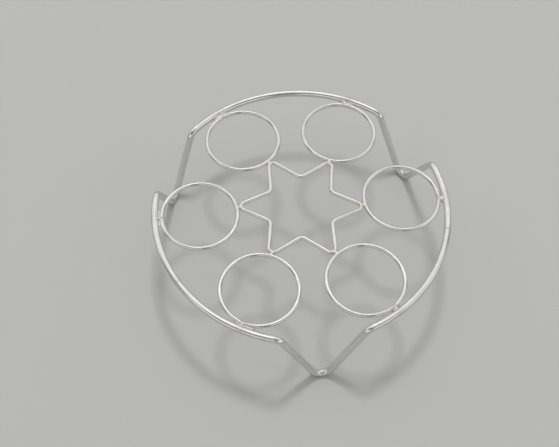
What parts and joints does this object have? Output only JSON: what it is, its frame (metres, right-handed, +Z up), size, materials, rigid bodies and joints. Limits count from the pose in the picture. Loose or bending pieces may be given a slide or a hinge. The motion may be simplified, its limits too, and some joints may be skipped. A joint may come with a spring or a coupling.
{
  "type": "egg steamer rack",
  "caption": "Round wire rack that holds eggs upright in rings over boiling water, tied in the middle by a star of bent wire and standing on V-shaped legs bent from its outer hoop.",
  "frame": {"origin": "on the surface that the rack stands on, on the rack's upright axis, under the middle of the star", "axes": "+Z up, one leg points to -Y and the other two to the right and left of +Y"},
  "size_m": [0.167, 0.1683, 0.0441],
  "materials": {
    "bright_wire": "polished bright steel wire with faint draw lines",
    "weld_metal": "satin weld metal with a straw heat tint"
  },
  "bodies": {
    "root": {"front_frame_wire": "bright_wire", "back_frame_wire": "bright_wire", "star_wire": "bright_wire", "egg_ring_1": "bright_wire", "egg_ring_2": "bright_wire", "egg_ring_3": "bright_wire", "egg_ring_4": "bright_wire", "egg_ring_5": "bright_wire", "egg_ring_6": "bright_wire", "left_butt_weld": "weld_metal", "right_butt_weld": "weld_metal", "ring_weld_1": "weld_metal", "ring_weld_2": "weld_metal", "ring_weld_3": "weld_metal", "ring_weld_4": "weld_metal", "ring_weld_5": "weld_metal", "ring_weld_6": "weld_metal", "star_weld_1": "weld_metal", "star_weld_2": "weld_metal", "star_weld_3": "weld_metal", "star_weld_4": "weld_metal", "star_weld_5": "weld_metal", "star_weld_6": "weld_metal"}
  },
  "joints": []
}
